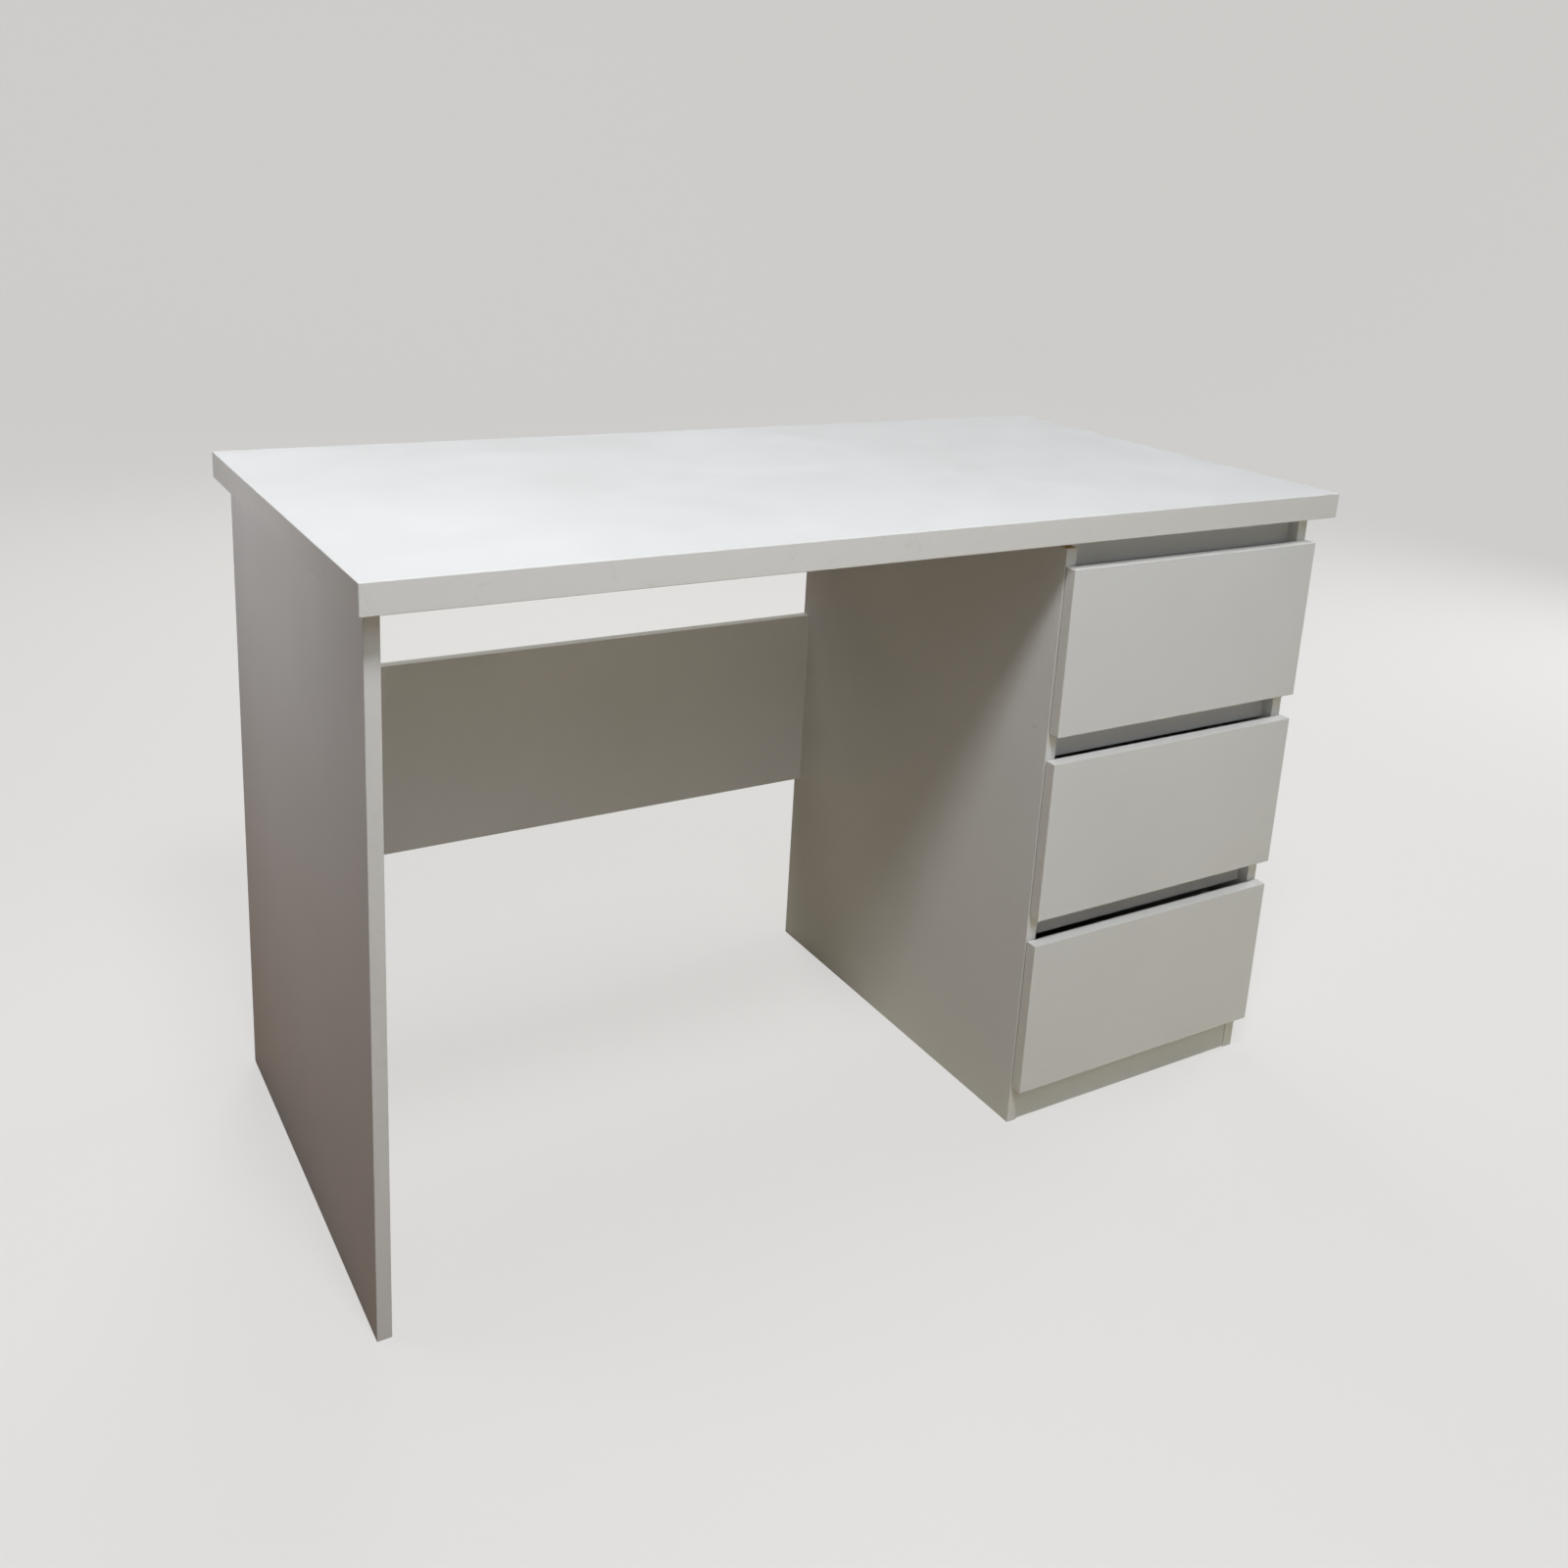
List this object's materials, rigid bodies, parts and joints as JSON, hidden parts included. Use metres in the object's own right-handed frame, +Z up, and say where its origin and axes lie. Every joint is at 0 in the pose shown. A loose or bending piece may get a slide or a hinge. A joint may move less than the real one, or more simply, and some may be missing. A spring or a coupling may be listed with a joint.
{
  "type": "writing desk with drawers",
  "caption": "White melamine writing desk with a slab end panel, an open knee space, a modesty panel and a pedestal of full-overlay drawers on telescopic slides.",
  "frame": {"origin": "on the floor, under the middle of the desktop", "axes": "+Z up; +X along the desktop to the sitter's right, towards the drawers; drawers open towards -Y"},
  "size_m": [1.2, 0.6, 0.77],
  "materials": {
    "melamine": "satin white melamine on chipboard",
    "edge_band": "satin white PVC edge band",
    "hardboard": "white-faced hardboard",
    "zinc_steel": "bright zinc plate"
  },
  "bodies": {
    "frame": {"desktop_board": "melamine", "desktop_front_lip": "melamine", "desktop_back_lip": "melamine", "desktop_left_lip": "melamine", "desktop_right_lip": "melamine", "desktop_cross_strip": "melamine", "desktop_edge_band": "edge_band", "left_end_panel": "melamine", "modesty_panel": "melamine", "pedestal_left_side": "melamine", "pedestal_right_side": "melamine", "pedestal_bottom": "melamine", "kick_board": "melamine", "pedestal_back_rail": "melamine", "pedestal_back_panel": "hardboard", "end_panel_front_bracket": "zinc_steel", "end_panel_back_bracket": "zinc_steel", "pedestal_left_front_bracket": "zinc_steel", "pedestal_left_back_bracket": "zinc_steel", "pedestal_right_front_bracket": "zinc_steel", "pedestal_right_back_bracket": "zinc_steel", "top_rail": "melamine", "middle_rail": "melamine", "bottom_rail": "melamine", "top_drawer_left_slide_outer": "zinc_steel", "top_drawer_right_slide_outer": "zinc_steel", "middle_drawer_left_slide_outer": "zinc_steel", "middle_drawer_right_slide_outer": "zinc_steel", "bottom_drawer_left_slide_outer": "zinc_steel", "bottom_drawer_right_slide_outer": "zinc_steel"},
    "top_drawer": {"top_drawer_front": "melamine", "top_drawer_left_side": "melamine", "top_drawer_right_side": "melamine", "top_drawer_box_front": "melamine", "top_drawer_box_back": "melamine", "top_drawer_bottom": "hardboard", "top_drawer_left_slide_inner": "zinc_steel", "top_drawer_right_slide_inner": "zinc_steel"},
    "top_drawer_carriage": {"top_drawer_left_slide_middle": "zinc_steel", "top_drawer_right_slide_middle": "zinc_steel"},
    "middle_drawer": {"middle_drawer_front": "melamine", "middle_drawer_left_side": "melamine", "middle_drawer_right_side": "melamine", "middle_drawer_box_front": "melamine", "middle_drawer_box_back": "melamine", "middle_drawer_bottom": "hardboard", "middle_drawer_left_slide_inner": "zinc_steel", "middle_drawer_right_slide_inner": "zinc_steel"},
    "middle_drawer_carriage": {"middle_drawer_left_slide_middle": "zinc_steel", "middle_drawer_right_slide_middle": "zinc_steel"},
    "bottom_drawer": {"bottom_drawer_front": "melamine", "bottom_drawer_left_side": "melamine", "bottom_drawer_right_side": "melamine", "bottom_drawer_box_front": "melamine", "bottom_drawer_box_back": "melamine", "bottom_drawer_bottom": "hardboard", "bottom_drawer_left_slide_inner": "zinc_steel", "bottom_drawer_right_slide_inner": "zinc_steel"},
    "bottom_drawer_carriage": {"bottom_drawer_left_slide_middle": "zinc_steel", "bottom_drawer_right_slide_middle": "zinc_steel"}
  },
  "joints": [
    {"name": "top_drawer_slide", "type": "slide", "parent": "frame", "child": "top_drawer", "axis": [0, -1, 0], "range_m": [0, 0.43]},
    {"name": "top_drawer_carriage_slide", "type": "slide", "parent": "frame", "child": "top_drawer_carriage", "axis": [0, -1, 0], "range_m": [0, 0.215]},
    {"name": "middle_drawer_slide", "type": "slide", "parent": "frame", "child": "middle_drawer", "axis": [0, -1, 0], "range_m": [0, 0.43]},
    {"name": "middle_drawer_carriage_slide", "type": "slide", "parent": "frame", "child": "middle_drawer_carriage", "axis": [0, -1, 0], "range_m": [0, 0.215]},
    {"name": "bottom_drawer_slide", "type": "slide", "parent": "frame", "child": "bottom_drawer", "axis": [0, -1, 0], "range_m": [0, 0.43]},
    {"name": "bottom_drawer_carriage_slide", "type": "slide", "parent": "frame", "child": "bottom_drawer_carriage", "axis": [0, -1, 0], "range_m": [0, 0.215]}
  ],
  "couplings": [
    {"joint": "top_drawer_carriage_slide", "follows": "top_drawer_slide", "ratio": 0.5},
    {"joint": "middle_drawer_carriage_slide", "follows": "middle_drawer_slide", "ratio": 0.5},
    {"joint": "bottom_drawer_carriage_slide", "follows": "bottom_drawer_slide", "ratio": 0.5}
  ]
}
